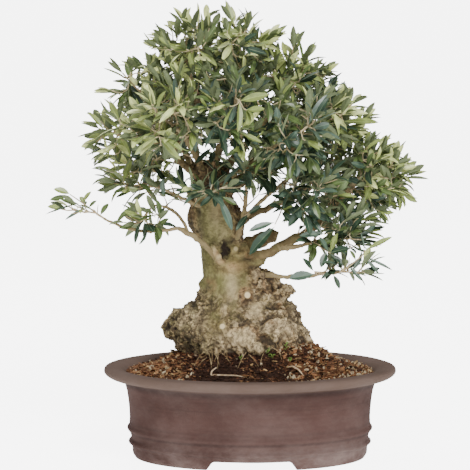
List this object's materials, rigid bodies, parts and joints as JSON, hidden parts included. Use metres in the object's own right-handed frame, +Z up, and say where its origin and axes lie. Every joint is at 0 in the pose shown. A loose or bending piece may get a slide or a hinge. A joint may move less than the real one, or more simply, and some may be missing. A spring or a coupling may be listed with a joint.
{
  "type": "olive bonsai in a clay pot",
  "caption": "Old olive bonsai with a swollen, flared trunk and a domed leafy crown, in an oval unglazed clay pot with a rolled rim and an arched foot.",
  "frame": {"origin": "on the ground, under the middle of the whole plant's box; the middle of the pot lies 24 mm towards +X", "axes": "+Z up the tree, +X to the right as one faces its front, along the pot's length, +Y away from the viewer"},
  "size_m": [0.5696, 0.4095, 0.6813],
  "materials": {
    "clay_pot": "matte",
    "potting_soil": "matte",
    "trunk_bark": "matte",
    "bough_bark": "matte",
    "foliage": "satin"
  },
  "bodies": {
    "root": {"pot": "clay_pot", "soil": "potting_soil", "trunk": "trunk_bark", "bough_low_left": "bough_bark", "bough_far_left": "bough_bark", "bough_left_rise": "bough_bark", "bough_left_mid": "bough_bark", "bough_upper_left": "bough_bark", "bough_left_high": "bough_bark", "bough_top_left": "bough_bark", "bough_top": "bough_bark", "bough_top_right": "bough_bark", "bough_right_high": "bough_bark", "bough_right_main": "bough_bark", "bough_right_fork": "bough_bark", "bough_low_right": "bough_bark", "bough_right_rise": "bough_bark", "bough_rise_fork": "bough_bark", "bough_front_low": "bough_bark", "bough_front_left": "bough_bark", "bough_front_mid": "bough_bark", "bough_front_right": "bough_bark", "bough_back_left": "bough_bark", "bough_back_mid": "bough_bark", "bough_back_right": "bough_bark", "bough_back_low_left": "bough_bark", "bough_back_low_right": "bough_bark", "old_stub": "bough_bark", "leaves_far_left": "foliage", "leaves_left_drop": "foliage", "leaves_left_low": "foliage", "leaves_left_mid": "foliage", "leaves_left_high": "foliage", "leaves_top_left": "foliage", "leaves_top": "foliage", "leaves_top_right": "foliage", "leaves_right_high": "foliage", "leaves_right": "foliage", "leaves_right_low": "foliage", "leaves_low_right": "foliage", "leaves_mid_right": "foliage", "leaves_under_right": "foliage", "leaves_front_low": "foliage", "leaves_front_left": "foliage", "leaves_front_mid": "foliage", "leaves_front_right": "foliage", "leaves_back_left": "foliage", "leaves_back_mid": "foliage", "leaves_back_right": "foliage", "leaves_back_low_left": "foliage", "leaves_back_low_right": "foliage"}
  },
  "joints": []
}
